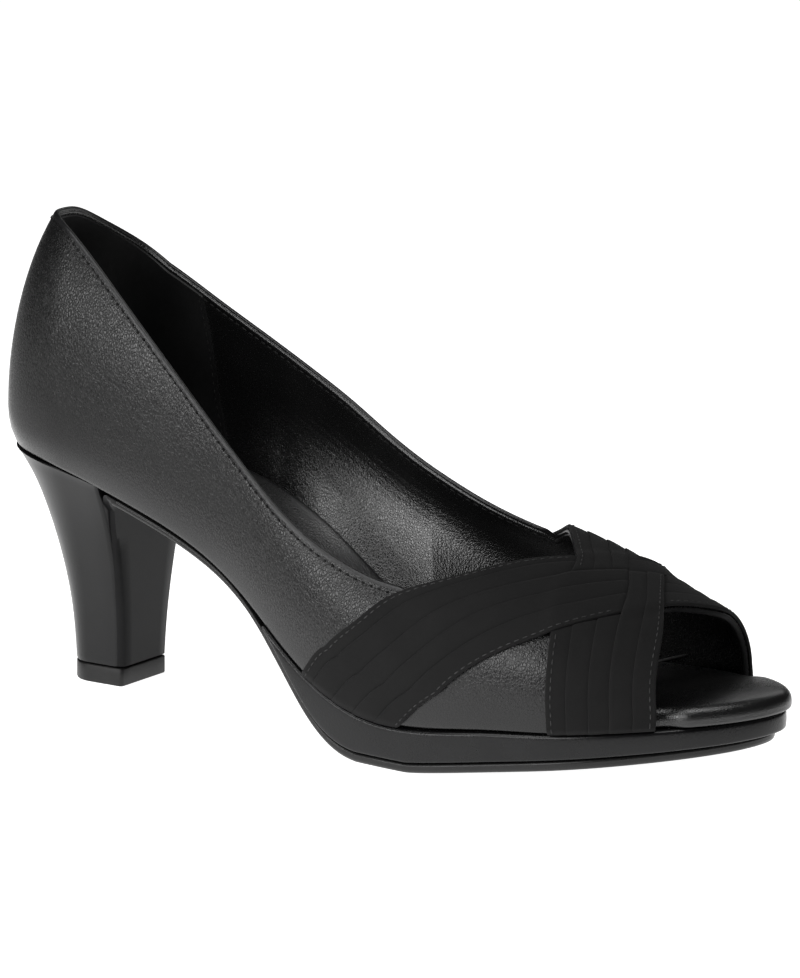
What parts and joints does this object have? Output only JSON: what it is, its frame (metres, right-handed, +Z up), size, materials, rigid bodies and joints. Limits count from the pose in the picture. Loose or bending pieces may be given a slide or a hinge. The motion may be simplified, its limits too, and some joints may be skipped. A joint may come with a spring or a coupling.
{
  "type": "platform pump",
  "caption": "Peep-toe platform pump for the right foot: tall flared heel, thin platform, low open collar, woven pleated straps over the vamp.",
  "frame": {"origin": "On the floor under the middle of the shoe's length and width.", "axes": "+X from heel to toe, +Y to the inside of the foot, +Z up."},
  "size_m": [0.2344, 0.081, 0.1283],
  "materials": {
    "toplift": "matte",
    "heel_cover": "satin",
    "outsole": "satin",
    "platform_wrap": "satin",
    "sock": "satin",
    "upper_leather": "grained satin",
    "strap_fabric": "matte"
  },
  "bodies": {
    "root": {"toplift": "toplift", "heel": "heel_cover", "outsole": "outsole", "platform": "platform_wrap", "insole": "sock", "upper": "upper_leather", "outer_strap_rear_start": "strap_fabric", "outer_strap_rear_end": "strap_fabric", "outer_strap_front_start": "strap_fabric", "outer_strap_front_end": "strap_fabric", "inner_strap_rear_start": "strap_fabric", "inner_strap_rear_end": "strap_fabric", "inner_strap_front_start": "strap_fabric", "inner_strap_front_end": "strap_fabric"}
  },
  "joints": []
}
